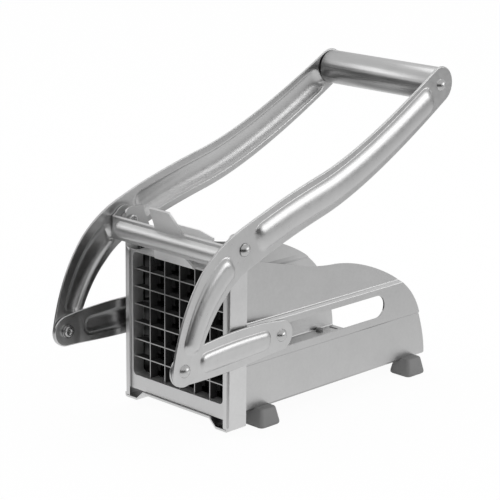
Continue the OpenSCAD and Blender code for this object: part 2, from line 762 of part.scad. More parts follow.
// The upright blades are slotted from behind and the level blades from the front.
module vertical_blades() color("gainsboro") place()
    for (i = [1:columns - 1]) translate([i * cell_w - opening_w / 2, 0, opening_low]) difference() {
        translate([-blade_t / 2, blade_y, 0]) cube([blade_t, blade_d, opening_h]);
        for (j = [1:rows - 1])
            translate([-overrun / 2, blade_mid_y, j * cell_h - blade_slot_w / 2])
                cube([overrun, overrun, blade_slot_w]);
    }
module horizontal_blades() color("gainsboro") place()
    for (j = [1:rows - 1]) translate([-opening_w / 2, 0, opening_low + j * cell_h]) difference() {
        translate([0, blade_y, -blade_t / 2]) cube([opening_w, blade_d, blade_t]);
        for (i = [1:columns - 1])
            translate([i * cell_w - blade_slot_w / 2, blade_mid_y - overrun, -overrun / 2])
                cube([blade_slot_w, overrun, overrun]);
    }

// Pusher

module screw_places() for (x = [-1, 1], z = [-1, 1])
    translate([x * (pusher_x - screw_in), 0, opening_mid + z * (opening_h / 2 - screw_in)])
        rotate([-90, 0, 0]) children();
module pusher_block() color("black") place() difference() {
    union() {
        along(base_y, plate_y)
            translate([0, opening_mid]) square([2 * pusher_x, opening_h - blade_t], center = true);
        along(peg_y, base_y + join) for (i = [0:columns - 1], j = [0:rows - 1])
            translate([(i + 1 / 2) * cell_w - opening_w / 2, opening_low + (j + 1 / 2) * cell_h])
                square([peg_w, peg_h], center = true);
    }
    translate([0, plate_y - screw_l, 0]) screw_places() cylinder(d = screw_d, h = 2 * screw_l);
}
module pusher_plate() color("silver") place() {
    low = floor_top + floor_gap;
    over_button = low + button_h;
    foot_x = trough_w / 2 - stem_in - button_d / 2 - foot_gap;
    plate_top = opening_top - plate_drop;
    ear_y = plate_y + plate_t;
    difference() {
        along(plate_y, ear_y) {
            translate([-pusher_x, over_button]) square([2 * pusher_x, plate_top - over_button]);
            translate([-foot_x, low]) square([2 * foot_x, over_button - low + join]);
        }
        translate([0, plate_y - screw_l, 0]) screw_places() cylinder(d = screw_d, h = 2 * screw_l);
    }
    translate([-foot_x, plate_y, low]) cube([2 * foot_x, carriage_l, plate_t]);
    difference() {
        both_sides() translate([pusher_x - plate_t, plate_y, axle_h - carriage_ear_h / 2])
            cube([plate_t, carriage_l, carriage_ear_h]);
        bar(axle, -overrun, overrun, axle_d / 2);
    }
}
module pusher_screws() color("gainsboro") place() {
    translate([0, plate_y - screw_l, 0]) screw_places() cylinder(d = screw_d, h = screw_l + plate_t);
    translate([0, plate_y + plate_t, 0]) screw_places() cylinder(d = screw_head_d, h = screw_head_h);
}
module pusher_axle() color("gainsboro") place() {
    x = link_rear_w / 2 - link_t - side_gap;
    bar(axle, -x, x, axle_d / 2);
}

trough();
front_frame();
foot_front_left();
foot_front_right();
foot_rear_left();
foot_rear_right();
pivot_spacers();
pivot_rivets();
lever_arm_left();
lever_arm_right();
handle_tube();
handle_rod();
handle_plugs();
front_rivets();
link_left();
link_right();
rear_rivet_left();
rear_rivet_right();
gate_bar();
cartridge_frame();
vertical_blades();
horizontal_blades();
pusher_block();
pusher_plate();
pusher_screws();
pusher_axle();
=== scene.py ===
# %% [markdown]
# This is a french fry cutter in satin stainless steel, with rubber feet and a plastic pusher. The
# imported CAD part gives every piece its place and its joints, so it is loaded first and never moved.
# Each step below then dresses one piece. Pieces with pressed ribs or soft edges get a new surface,
# and the others keep the CAD surface and get a finish.

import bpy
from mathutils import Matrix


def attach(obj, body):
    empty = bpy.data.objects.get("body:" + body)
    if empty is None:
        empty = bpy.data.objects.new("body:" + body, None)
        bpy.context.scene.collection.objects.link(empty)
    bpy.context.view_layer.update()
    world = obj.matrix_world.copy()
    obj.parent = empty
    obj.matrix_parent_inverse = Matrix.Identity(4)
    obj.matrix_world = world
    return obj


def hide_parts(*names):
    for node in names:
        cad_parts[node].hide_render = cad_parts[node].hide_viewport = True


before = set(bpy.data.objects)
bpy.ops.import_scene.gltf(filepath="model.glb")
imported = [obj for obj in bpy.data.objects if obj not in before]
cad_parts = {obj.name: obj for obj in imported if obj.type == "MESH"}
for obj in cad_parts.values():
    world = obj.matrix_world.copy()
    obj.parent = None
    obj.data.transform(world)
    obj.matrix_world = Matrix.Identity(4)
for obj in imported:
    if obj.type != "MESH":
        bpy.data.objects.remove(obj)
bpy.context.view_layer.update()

# %% [markdown]
# A maker measures in millimetres from a face that can be touched. Blender wants metres from the
# object's origin. Typing metres everywhere would hide the real sizes, so the shapes below are in
# millimetres, with Y counted from the front face of the front frame, and one function turns them
# into the shared frame. Its origin lies 66.55 mm behind that face.

# %% Tools and units
import math

import bmesh
import bpy
import numpy as np
from mathutils import Matrix, Vector

MM = 0.001
FACE_Y = 66.55


def to_frame(points):
    """Metres in the shared frame: every size times 0.001, with Y less the 66.55 mm to the origin."""
    return (np.asarray(points, float) - [0.0, FACE_Y, 0.0]) * MM


# %% [markdown]
# The camera stands where the photograph was taken from. It could be moved by hand until the picture
# looks right, but then every size would be judged by eye. Its place, its turns and its focal length
# were solved instead, from points on the frame, the blades, the rivets and the handle.

# %% Camera
AZIMUTH, ELEVATION, ROLL = 44.57, 15.28, 0.58
EYE = Vector((0.72795, -0.74765, 0.37003))
SENSOR_MM, FOCAL_PIXELS, PICTURE_PIXELS = 36.0, 1903.66, 500


def camera_axes(azimuth, elevation, roll):
    """Right, up and forward: forward points at the object, right is level, then both turn by roll."""
    a, e, r = (math.radians(v) for v in (azimuth, elevation, roll))
    forward = np.array([-math.sin(a) * math.cos(e), math.cos(a) * math.cos(e), -math.sin(e)])
    right = np.array([math.cos(a), math.sin(a), 0.0])
    up = np.cross(right, forward)
    turned_right = math.cos(r) * right + math.sin(r) * up
    return turned_right, math.cos(r) * up - math.sin(r) * right, forward


right, up, forward = camera_axes(AZIMUTH, ELEVATION, ROLL)
lens = bpy.data.cameras.new("camera")
lens.sensor_width = SENSOR_MM
lens.lens = SENSOR_MM * FOCAL_PIXELS / PICTURE_PIXELS
camera = bpy.data.objects.new("camera", lens)
bpy.context.collection.objects.link(camera)
camera.matrix_world = Matrix.Translation(EYE) @ Matrix(np.stack([right, up, -forward], 1)).to_4x4()
bpy.context.scene.camera = camera
bpy.context.scene.view_settings.view_transform = "Standard"
print("focal length in mm:", round(lens.lens, 2))


# %% [markdown]
# A material is a graph of nodes, and placing its sums one node at a time hides what they mean. Wire
# wraps one output socket, so that `0.3 + grain * 0.1` adds the Math nodes by itself. Finish.node
# adds any other node from its type, its settings and its inputs.

# %% A socket that can be added and multiplied
class Wire:
    """One number output of a node. Each operator adds a Math node and gives its output."""

    def __init__(self, finish, socket):
        self.finish, self.socket = finish, socket

    def math(self, operation, first, second=0.0):
        """A Math node that works the operation out on the first and the second number."""
        return self.finish.node("ShaderNodeMath", {"operation": operation}, {0: first, 1: second})

    def __add__(self, other):
        return self.math("ADD", self, other)

    def __sub__(self, other):
        return self.math("SUBTRACT", self, other)

    def __rsub__(self, other):
        return self.math("SUBTRACT", other, self)

    def __mul__(self, other):
        return self.math("MULTIPLY", self, other)

    def most(self, other):
        """The larger of the two numbers."""
        return self.math("MAXIMUM", self, other)

    def least(self, other):
        """The smaller of the two numbers."""
        return self.math("MINIMUM", self, other)

    def under(self, other):
        """1 where this number is less than the other, else 0."""
        return self.math("LESS_THAN", self, other)

    def size(self):
        """The number without its sign."""
        return self.math("ABSOLUTE", self)

    __radd__, __rmul__ = __add__, __mul__


class Finish:
    """A material being built: its node tree, and one method that adds any node to it."""

    def __init__(self, tree):
        self.tree = tree
        tree.nodes.clear()

    def node(self, kind, settings=None, inputs=None, output=0):
        """Adds a node, makes its settings first, then sets or links its inputs."""
        made = self.tree.nodes.new(kind)
        for name, value in (settings or {}).items():
            setattr(made, name, value)
        for key, value in (inputs or {}).items():
            if isinstance(value, Wire):
                self.tree.links.new(value.socket, made.inputs[key])
            else:
                made.inputs[key].default_value = value
        return Wire(self, made.outputs[output]) if made.outputs else None


# %% Small helpers for materials
def new_material(name):
    """An empty material and the Finish that fills it."""
    material = bpy.data.materials.new(name)
    material.use_nodes = True
    print("material", name)
    return material, Finish(material.node_tree)


def grey(level):
    """A colour without hue: red, green and blue are all the level, and alpha is 1."""
    return (level, level, level, 1)


def mix(finish, factor, first, second):
    """A colour that goes from first to second as factor goes from 0 to 1."""
    return finish.node("ShaderNodeMix", {"data_type": "RGBA"}, {0: factor, 6: first, 7: second}, 2)


def place_on_object(finish):
    """The place on the surface, in metres from the origin that all pieces share."""
    return finish.node("ShaderNodeTexCoord", output="Object")


def axis_of(finish, place, axis):
    """One number of a place: its X, Y or Z."""
    return finish.node("ShaderNodeSeparateXYZ", inputs={0: place}, output=axis)


def noise(finish, place, scale, detail):
    """Noise from 0 to 1 with scale blotches per metre, and detail finer octaves on top."""
    return finish.node("ShaderNodeTexNoise", inputs={"Vector": place, "Scale": scale, "Detail": detail})


def relief(finish, height, strength, distance):
    """A normal bent as if height, times the distance in metres, stood out of the surface."""
    inputs = {"Strength": strength, "Distance": distance, "Height": height}
    return finish.node("ShaderNodeBump", inputs=inputs)


# %% [markdown]
# The photograph is a studio shot on pure white. Enough light for a white floor would bleach the
# metal, so the floor glows white to the camera instead, and it still takes shade from the lamps,
# which keeps the soft contact shadow. In reflections it is white beside the object and falls off
# with distance, fastest towards the left front, because metal shows where such a floor ends.

# %% Floor
FLOOR_HALF_WIDTH = 4.0


def rays(finish):
    """How much a ray is a camera or glass ray, and how much it is a reflection."""
    seen, mirrored, through = (
        finish.node("ShaderNodeLightPath", output=f"Is {kind} Ray")
        for kind in ("Camera", "Glossy", "Transmission")
    )
    return seen + through, mirrored


def floor_glow(finish, mirrored):
    """1 to the eye. In reflections, with t = (x + y) / sqrt(2) and w = (x - y) / sqrt(2) in metres,
    it is the product of 1 - 0.55 (t - 0.05) to the right rear, 1 - 1.3 (-t - 0.1) to the left front,
    1 - 5 (w - 0.2) towards the camera, and a painted soft shadow of the object on its left. The first
    three stay above 0.3, 0.2 and 0.08."""
    place = place_on_object(finish)
    x, y = axis_of(finish, place, "X"), axis_of(finish, place, "Y")
    t = (x + y) * 0.7071
    rear = 1.0 - (t - 0.05).most(0.0) * 0.55
    front = 1.0 - (-0.1 - t).most(0.0) * 1.3
    near = 1.0 - ((x - y) * 0.7071 - 0.2).most(0.0) * 5.0
    # Painted shadow of the object on the floor to its left, seen only in reflections: the glow falls to
    # 0.3 at its middle.
    away = ((x + 0.18) * (x + 0.18) + (y - 0.06) * (y - 0.06)) * 40.0
    left = 1.0 - (1.0 - away).most(0.0) * 0.7
    seen = rear.most(0.3) * front.most(0.2) * near.most(0.08) * left
    return 1.0 - mirrored * (1.0 - seen)


floor_material, finish = new_material("floor_white")
direct, mirrored = rays(finish)
lit = finish.node("ShaderNodeBsdfDiffuse", inputs={"Color": grey(0.95)})
strength = floor_glow(finish, mirrored)
glow = finish.node("ShaderNodeEmission", inputs={"Color": grey(1), "Strength": strength})
floor_mix = finish.node("ShaderNodeMixShader", inputs={0: direct * 0.95 + mirrored, 1: lit, 2: glow})
finish.node("ShaderNodeOutputMaterial", inputs={0: floor_mix})
floor_mesh = bpy.data.meshes.new("floor")
floor_corners = [(-1, -1, 0), (1, -1, 0), (1, 1, 0), (-1, 1, 0)]
floor_mesh.from_pydata((np.array(floor_corners) * FLOOR_HALF_WIDTH).tolist(), [], [(0, 1, 2, 3)])
floor = bpy.data.objects.new("floor", floor_mesh)
floor.data.materials.append(floor_material)
bpy.context.collection.objects.link(floor)

# %% Sky
world = bpy.data.worlds.new("studio")
world.use_nodes = True
bpy.context.scene.world = world
finish = Finish(world.node_tree)
direct, mirrored = rays(finish)
level = direct + mirrored * 0.75 + (1.0 - direct - mirrored) * 0.85
sky = finish.node("ShaderNodeBackground", inputs={"Color": grey(1), "Strength": level})
finish.node("ShaderNodeOutputWorld", inputs={0: sky})
print("sky: 1 to the eye, 0.75 in reflections, 0.85 as light")


# %% [markdown]
# Metal shows what stands around it. Soft boxes draw the long highlights on the ribs and on the
# handle. Streaks painted on the metal would stay put when the lever turns, so they are left to the
# lamps. A dark card that only reflections see stands in for the unlit room behind the camera, and
# gives bends and rivets their black edges.

# %% Lamps
def soft_box(name, place, size, radiance):
    """A rectangular area lamp aimed at the object. Its power is radiance * pi * width * height."""
    data = bpy.data.lights.new(name, "AREA")
    data.shape, data.size, data.size_y = "RECTANGLE", *size
    data.energy = radiance * math.pi * size[0] * size[1]
    lamp = bpy.data.objects.new(name, data)
    bpy.context.collection.objects.link(lamp)
    lamp.location = place
    lamp.rotation_euler = (Vector((0, 0, 0.1)) - Vector(place)).to_track_quat("-Z", "Y").to_euler()
    print(name, "power", round(data.energy, 2), "W")


soft_box("lamp_right", place=(1.25, 0.9, 0.42), size=(1.2, 0.5), radiance=1.9)
soft_box("lamp_left", place=(-1.0, -0.95, 0.95), size=(1.0, 0.5), radiance=1.25)
soft_box("lamp_top", place=(-0.2, 0.5, 1.6), size=(1.0, 1.0), radiance=1.1)


# %% Dark card
def dark_card(name, start, end, radius, low, high, level, steps=24):
    """A card bent round the object that only reflections see: x = -radius sin(a) and
    y = -radius cos(a), with a from start to end in degrees. Level is its own weak glow."""
    a = np.radians(np.linspace(start, end, steps + 1))[:, None]
    z = np.array([[low, high]]) + 0 * a
    points = np.stack([-radius * np.sin(a) + 0 * z, -radius * np.cos(a) + 0 * z, z], -1).reshape(-1, 3)
    mesh = bpy.data.meshes.new(name)
    mesh.from_pydata(points.tolist(), [], (np.arange(steps)[:, None] * 2 + [0, 1, 3, 2]).tolist())
    made = bpy.data.objects.new(name, mesh)
    material, finish = new_material(name)
    faint = finish.node("ShaderNodeEmission", inputs={"Color": grey(1), "Strength": level})
    finish.node("ShaderNodeOutputMaterial", inputs={0: faint})
    mesh.materials.append(material)
    bpy.context.collection.objects.link(made)
    made.visible_camera = made.visible_diffuse = made.visible_shadow = False


dark_card("card_front", start=-88, end=78, radius=1.25, low=0.0, high=0.42, level=0.05)


# %% [markdown]
# Satin stainless has one colour. What the eye reads as brushing is roughness and a very fine bump.
# A picture of brushed steel would blur close up and repeat, so both come from noise instead,
# stretched along the direction in which the sheet was ground. Some faces get painted shade by their
# place, and the cartridge's pull plate gets a painted highlight that makes it pale and matt. Both
# stand in for dark and bright surroundings that this studio does not have.

# %% Steel finishes
# Colours of painted shade on the trough's inner faces and on the blade flanks, and of a painted pale
# highlight on the pull plate.
PAINTED_INNER_SHADE, PAINTED_BLADE_SHADE, PAINTED_PULL_HIGHLIGHT = grey(0.03), grey(0.035), grey(0.9)


def painted_shade_mask(finish, place):
    """1 where painted shade darkens the trough's inner faces near the cartridge, in the shared frame.
    Inner faces have |x| under 37.45 mm, or 36.5 mm above Z = 59.5 mm, and 2.4 mm more at the flared
    front. The share falls from 1 at Y = -15 mm to 0 at 35 mm. Below Z = 62 mm it keeps 0.75 up to
    Y = 18 mm and ends at 71 mm, and the floor below Z = 10.5 mm has 0.4 of it."""
    x, y, z = (axis_of(finish, place, axis) for axis in "XYZ")
    limit = 0.03745 - (0.0595 - z).under(0.0) * 0.00095 + y.under(-0.0505) * 0.0024
    front = (0.7 - y * 20.0).most(0.0).least(1.0)
    low = z.under(0.062) * (1.0 - y * 14.0).most(0.0).least(0.75)
    floor_share = 1.0 - z.under(0.0105) * 0.6
    return x.size().under(limit) * front.most(low) * floor_share


def steel(
    name, shade, rough, stretch, grain, bump=0.04, cloud=0.05, inside=0.0, painted_highlight_above=None, painted_shade_behind=None
):
    """Metal whose grain is noise at grain per metre, squeezed by stretch along X, Y and Z. Its
    roughness is rough + 0.16 (grain - 0.5) + cloud (blotches - 0.5), and bump is how far the grain
    bends the normal. With inside, the trough's inner faces get that share of painted shade in their
    colour. With painted_highlight_above, in metres, it is 0.8 metallic up to that height, and from 2.5 mm
    above it a painted highlight makes it pale and nearly without metal. With painted_shade_behind, a
    painted shade of
    0.86 covers it from 0.34 mm behind that Y, so only the ground edges shine."""
    material, finish = new_material(name)
    place = place_on_object(finish)
    drawn = finish.node("ShaderNodeMapping", inputs={"Vector": place, "Scale": stretch})
    brushed = noise(finish, drawn, grain, 4.0)
    handled = noise(finish, place, 70.0, 4.0)
    colour = mix(finish, brushed * 0.5 + handled * 0.5, grey(shade * 0.86), grey(shade * 1.12))
    # Painted shade: the trough's inner faces near the cartridge are mixed towards near black.
    if inside:
        colour = mix(finish, painted_shade_mask(finish, place) * inside, colour, PAINTED_INNER_SHADE)
    metallic = 1.0
    # Painted highlight: above the given height the pull plate turns pale and nearly without metal.
    if painted_highlight_above is not None:
        upper = ((axis_of(finish, place, "Z") - painted_highlight_above) * 400.0).most(0.0).least(1.0)
        metallic = 0.8 - upper * 0.75
        colour = mix(finish, upper, colour, PAINTED_PULL_HIGHLIGHT)
    matt = rough + (brushed - 0.5) * 0.16 + (handled - 0.5) * cloud
    metal = finish.node(
        "ShaderNodeBsdfPrincipled",
        inputs={
            "Base Color": colour,
            "Metallic": metallic,
            "Roughness": matt,
            "Normal": relief(finish, brushed, bump, 0.0004),
        },
    )
    # Painted shade: behind the ground edge, the blade's flanks are mixed towards a near black diffuse
    # surface.
    if painted_shade_behind is not None:
        share = ((axis_of(finish, place, "Y") - painted_shade_behind) * 2500.0).most(0.0).least(0.86)
        dull = finish.node("ShaderNodeBsdfDiffuse", inputs={"Color": PAINTED_BLADE_SHADE})
        metal = finish.node("ShaderNodeMixShader", inputs={0: share, 1: metal, 2: dull})
    finish.node("ShaderNodeOutputMaterial", inputs={0: metal})
    return material


# The wall steel carries painted shade on the trough's inner faces, the blade steel painted shade on the
# blade flanks, and the cartridge steel a painted pale highlight on its pull plate.
arm_steel = steel("arm_steel", 0.54, 0.31, (1.0, 0.35, 0.35), 900)
wall_steel = steel("wall_steel", 0.5, 0.36, (1.0, 0.5, 0.5), 1100, bump=0.06, inside=0.93)
frame_steel = steel("frame_steel", 0.6, 0.34, (1.0, 0.5, 0.5), 1100, bump=0.06)
tube_steel = steel("tube_steel", 0.55, 0.33, (0.05, 1.0, 1.0), 1400)
rivet_steel = steel("rivet_metal", 0.5, 0.27, (1.0, 1.0, 1.0), 700, bump=0.02, cloud=0.02)
blade_steel = steel("blade_metal", 0.4, 0.30, (0.2, 1.0, 1.0), 900, painted_shade_behind=-0.0631)
bar_steel = steel("bar_steel", 0.68, 0.46, (0.4, 1.0, 1.0), 1100, bump=0.06)
painted_highlight_steel = steel("painted_highlight_steel", 0.6, 0.4, (1.0, 1.0, 1.0), 1300, bump=0.06, painted_highlight_above=0.097)


# %% [markdown]
# Feet, pusher block and plugs are moulded. Their faces have no grain, only a fine pore that breaks
# the shine. An even surface would look like wet paint, so one helper puts specks into roughness and
# height. It serves the grey rubber and the black plastic alike.

# %% Rubber and plastic
def moulded(name, shade, rough, speck, gloss=0.5):
    """A dull moulded surface of nearly one colour. Its roughness is rough + 0.15 (specks - 0.5), with
    speck of them per metre, and the same specks stand out in height."""
    material, finish = new_material(name)
    place = place_on_object(finish)
    fine = noise(finish, place, speck, 3.0)
    broad = noise(finish, place, 60.0, 2.0)
    skin = finish.node(
        "ShaderNodeBsdfPrincipled",
        inputs={
            "Base Color": mix(finish, fine * 0.4 + broad * 0.6, grey(shade * 0.88), grey(shade * 1.1)),
            "Roughness": rough + (fine - 0.5) * 0.15,
            "Normal": relief(finish, fine, 0.12, 0.0003),
            "Specular IOR Level": gloss,
        },
    )
    finish.node("ShaderNodeOutputMaterial", inputs={0: skin})
    return material


foot_rubber = moulded("grey_rubber", 0.19, rough=0.62, speck=2500)
black_plastic = moulded("dark_plastic", 0.012, rough=0.55, speck=1800, gloss=0.3)


# %% [markdown]
# Every new piece is one or more grids of points. Points could be pushed about by hand in Edit Mode,
# but then no thickness or height would be exact. A grid worked out as an array is exact, and its
# quads follow from the row and column numbers, so one helper makes the faces of all new pieces.

# %% Grids to meshes
def grid_faces(rows, columns):
    """Quads of a grid whose columns close into a ring: point (i, j) joins (i, m), (i + 1, m) and
    (i + 1, j), where m is j + 1, or 0 after the last column."""
    i, j = np.meshgrid(np.arange(rows - 1), np.arange(columns), indexing="ij")
    m = (j + 1) % columns
    corners = [i * columns + j, i * columns + m, (i + 1) * columns + m, (i + 1) * columns + j]
    return np.stack(corners, -1).reshape(-1, 4).tolist()


def tube_shell(loops):
    """A closed shell from loops of points: quads between the loops and a flat face at each end."""
    rows, columns = loops.shape[:2]
    ends = [list(range(columns)), list(range((rows - 1) * columns, rows * columns))]
    return loops, grid_faces(rows, columns) + ends


def shell_mesh(name, shells):
    """A mesh in the shared frame from (points, faces) shells. The faces of each shell count on from
    the points before it. Doubles are merged and the normals point outward."""
    points, faces, count = [], [], 0
    for shell_points, shell_faces in shells:
        flat = np.asarray(shell_points, float).reshape(-1, 3)
        points.append(flat)
        faces += [[k + count for k in face] for face in shell_faces]
        count += len(flat)
    mesh = bpy.data.meshes.new(name)
    mesh.from_pydata(to_frame(np.concatenate(points)), [], faces)
    work = bmesh.new()
    work.from_mesh(mesh)
    bmesh.ops.remove_doubles(work, verts=work.verts, dist=2e-6)
    bmesh.ops.dissolve_degenerate(work, edges=work.edges, dist=1e-6)
    bmesh.ops.recalc_face_normals(work, faces=work.faces)
    work.to_mesh(mesh)
    work.free()
    return mesh


# %% From mesh to piece
def soften(made, width, angle=40.0):
    """A small rounded edge, width in mm, wherever two faces meet at more than the angle."""
    edge = made.modifiers.new("edge", "BEVEL")
    edge.width, edge.segments, edge.angle_limit = width * MM, 2, math.radians(angle)
    edge.harden_normals = True


def piece(name, mesh, body, material, replaces=(), sharp=35.0, bevel=0.0):
    """One object from a mesh: smooth but for sharp edges, on its body, with its finish."""
    mesh.name = name
    mesh.materials.clear()
    mesh.materials.append(material)
    mesh.shade_smooth()
    mesh.set_sharp_from_angle(angle=math.radians(sharp))
    made = bpy.data.objects.new(name, mesh)
    bpy.context.collection.objects.link(made)
    if bevel:
        soften(made, bevel)
    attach(made, body)
    if replaces:
        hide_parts(*replaces)
    print(name, len(mesh.vertices), "points")


# %% [markdown]
# Holes, slots and side outlines are punched out of sheet. A hole could be part of the grid, but then
# the quads would have to bend round it, and a rib's height would suffer. A Boolean modifier cuts the
# drawn-out outline from the finished surface instead, and what it leaves is kept as a plain mesh.

# %% Cutting tools
PAST_BOTH_SIDES = 60


def prism(outline, start, end, axis=0):
    """An outline drawn out from start to end along X (axis 0, outline in Y and Z), along Y (axis 1,
    in X and Z) or along Z (axis 2, in X and Y)."""
    flat = np.asarray(outline, float)
    return tube_shell(np.stack([np.insert(flat, axis, at, axis=1) for at in (start, end)]))


def circle(centre, radius, steps=40):
    """Points of a full circle: centre + radius (cos a, sin a)."""
    a = np.linspace(0, 2 * np.pi, steps, endpoint=False)
    return np.array(centre) + radius * np.stack([np.cos(a), np.sin(a)], 1)


def carved(mesh, cutters):
    """The mesh after each (shells, operation) pair has been cut from it or kept inside it."""
    body = bpy.data.objects.new("carving", mesh)
    bpy.context.collection.objects.link(body)
    tools = []
    for shells, operation in cutters:
        tool = bpy.data.objects.new("cutter", shell_mesh("cutter", shells))
        bpy.context.collection.objects.link(tool)
        step = body.modifiers.new("cut", "BOOLEAN")
        step.object, step.operation, step.solver = tool, operation, "EXACT"
        tools.append(tool)
    graph = bpy.context.evaluated_depsgraph_get()
    result = bpy.data.meshes.new_from_object(body.evaluated_get(graph))
    for used in tools + [body]:
        bpy.data.objects.remove(used)
    return result


def side_cut(outline, operation="DIFFERENCE"):
    """A cutter that runs across the whole object, from an outline in Y and Z."""
    return [prism(outline, -PAST_BOTH_SIDES, PAST_BOTH_SIDES)], operation


# %% [markdown]
# The long arms are pressed from flat sheet. Seen from the side, an arm's middle line runs from the
# link's pivot over the lever's pivot to the handle. It could be a Bezier object, but the ribs need
# its points and its length as numbers, so three quadratic curves are worked out and joined.

# %% Middle lines
CURVE_STEPS = 40
PIVOT, FRONT_PIVOT = np.array([4.8, 106.2]), np.array([-38.5, 49.1])
HANDLE, AXLE = np.array([169.5, 173.3]), np.array([40.2, 49.9])
KNEE = [65.08, 124.99]


def curve(start, pull, end, steps=CURVE_STEPS):
    """Quadratic curve: (1-u)^2 start + 2u(1-u) pull + u^2 end."""
    u = np.linspace(0, 1, steps + 1)[:, None]
    return (1 - u) ** 2 * np.array(start) + 2 * u * (1 - u) * np.array(pull) + u**2 * np.array(end)


def lengths(line):
    """Distance along a line at each of its points: the running sum of the steps between them."""
    return np.concatenate([[0], np.cumsum(np.linalg.norm(np.diff(line, axis=0), axis=1))])


def directions(line):
    """Unit vectors along a line: the difference of the neighbours, divided by its own length."""
    along = np.gradient(line, axis=0)
    return along / np.linalg.norm(along, axis=1)[:, None]


arm_line = np.concatenate([
    curve(FRONT_PIVOT, [-26.94, 93.98], PIVOT)[:-1],
    curve(PIVOT, [31.15, 116.6], KNEE)[:-1],
    curve(KNEE, [104.11, 134.58], HANDLE),
])
arm_length = lengths(arm_line)
pivot_s, knee_s, handle_s = arm_length[[CURVE_STEPS, 2 * CURVE_STEPS, -1]]
print("arm is", round(handle_s, 1), "mm long, pivot at", round(pivot_s, 1))


# %% [markdown]
# A pressed plate is a strip of sheet with a raised pattern. A plane with a Solidify modifier would
# have its thickness, but square edges. Here the section is one closed loop instead: across the outer
# face, round the deburred edge, back across the inner face and round the other edge. The first step
# lays the rows of that grid across the strip, round ends included.

# %% Rows across a strip
SHEET = 1.2
EDGE = SHEET / 2


def strip_rows(line, halves, steps):
    """Each row's distance s, half width, turn, place, tangent and side. On a round end of radius r
    the row at angle a lies r sin(a) past the line, and its half width is r cos(a)."""
    s_line = lengths(line)
    start_r, end_r = halves[0] - EDGE, halves[-1] - EDGE
    cap = np.linspace(0, np.pi / 2, 14)
    first, last = cap[:0:-1], cap[1:]
    s_mid = np.linspace(0, s_line[-1], steps)
    half_mid = np.interp(s_mid, s_line, halves) - EDGE
    s = np.concatenate([-start_r * np.sin(first), s_mid, s_line[-1] + end_r * np.sin(last)])
    half = np.concatenate([start_r * np.cos(first), half_mid, end_r * np.cos(last)])
    turn = np.concatenate([-first, np.zeros(steps), last])
    along = directions(line)
    tangent = np.stack([np.interp(s, s_line, along[:, k]) for k in (0, 1)], 1)
    tangent /= np.linalg.norm(tangent, axis=1)[:, None]
    side = np.stack([-tangent[:, 1], tangent[:, 0]], 1)
    on_line = np.clip(s, 0, s_line[-1])
    place = np.stack([np.interp(on_line, s_line, line[:, k]) for k in (0, 1)], 1)
    return s, half, turn, place + (s - on_line)[:, None] * tangent, tangent, side


# %% Faces and edges of a pressed plate
SLOPE_STEP = 0.05


def plate_face(rows, face, height, t, layer):
    """Points at cross distance t. The outer face, layer 0, has x = face(y) + height(s, t). The inner
    one, layer 1, lies a sheet thickness behind it along the surface normal."""
    s, _, _, place, tangent, side = rows
    at = place[:, None] + t[..., None] * side[:, None]
    deep = s[:, None] + 0 * t
    h = height(deep, t)
    slope_s = (height(deep + SLOPE_STEP, t) - height(deep - SLOPE_STEP, t)) / (2 * SLOPE_STEP)
    slope_t = (height(deep, t + SLOPE_STEP) - height(deep, t - SLOPE_STEP)) / (2 * SLOPE_STEP)
    back = SHEET * layer / np.sqrt(1 + slope_s**2 + slope_t**2)
    shift = (back * slope_s)[..., None] * tangent[:, None]
    at = at + shift + (back * slope_t)[..., None] * side[:, None]
    x = face(place[:, :1] + t * side[:, :1]) + h - back
    return np.concatenate([x[..., None], at], -1)


def plate_edge(rows, corner, sign):
    """The deburred edge: a half circle of half the sheet's thickness, from one face to the other."""
    _, _, turn, _, tangent, side = rows
    angle = np.linspace(0, np.pi, 7)[1:-1]
    out = np.sin(turn)[:, None] * tangent + sign * np.cos(turn)[:, None] * side
    edge = np.repeat(corner, len(angle), 1)
    edge[..., 0] += -sign * EDGE * (1 - np.cos(angle))
    edge[..., 1:] += EDGE * np.sin(angle)[:, None] * out[:, None]
    return edge


def pressed_plate(line, halves, face, height, across, steps):
    """Closed shell along a line: outer face, edge, inner face and edge, each from -half to half."""
    rows = strip_rows(line, halves, steps)
    half, share = rows[1][:, None], np.linspace(-1, 1, across)
    outer = plate_face(rows, face, height, half * share, 0)
    inner = plate_face(rows, face, height, half * share[::-1], 1)
    edges = [plate_edge(rows, outer[:, -1:], 1), plate_edge(rows, inner[:, -1:], -1)]
    loop = np.concatenate([outer, edges[0], inner, edges[1]], 1)
    return loop, grid_faces(*loop.shape[:2])


# %% [markdown]
# A rib stiffens thin sheet. It could be sculpted, but light on metal shows every dent that a brush
# leaves. As a function of the place on the strip it is smooth everywhere, and the inner face follows
# it by itself. Both arms and both links use this one function with their own numbers.

# %% Pressed ribs
def rib(s, t, start, end, middle, half, wall, height, sharpness, blunt):
    """Height of a rib with round ends. Distance d inside its outline, over the wall's width, gives a
    share u. The height is height * (1 - (1 - u)^2)^sharpness, eased by 3e^2 - 2e^3 with e = d / 0.9.
    The ends rise blunt times as fast as the sides."""
    length = (np.abs(s - (start + end) / 2) - ((end - start) / 2 - half / blunt)) * blunt
    width = np.abs(t - middle)
    beyond = (np.maximum(length, 0) ** 2.3 + np.maximum(width, 0) ** 2.3) ** (1 / 2.3)
    outside = beyond + np.minimum(np.maximum(length, width), 0)
    u = np.clip((half - outside) / wall, 0, 1)
    e = np.clip((half - outside) / 0.9, 0, 1)
    return height * (1 - (1 - u) ** 2) ** sharpness * (3 * e**2 - 2 * e**3)


# %% [markdown]
# Each arm has two ribs: a short flat-topped one beside the link and a long dome up to the handle.
# The arm bends inward behind its pivot, so the handle ends lie closer together. The left arm could
# be a Mirror modifier's copy, but it is a CAD node of its own, so its points are mirrored instead.

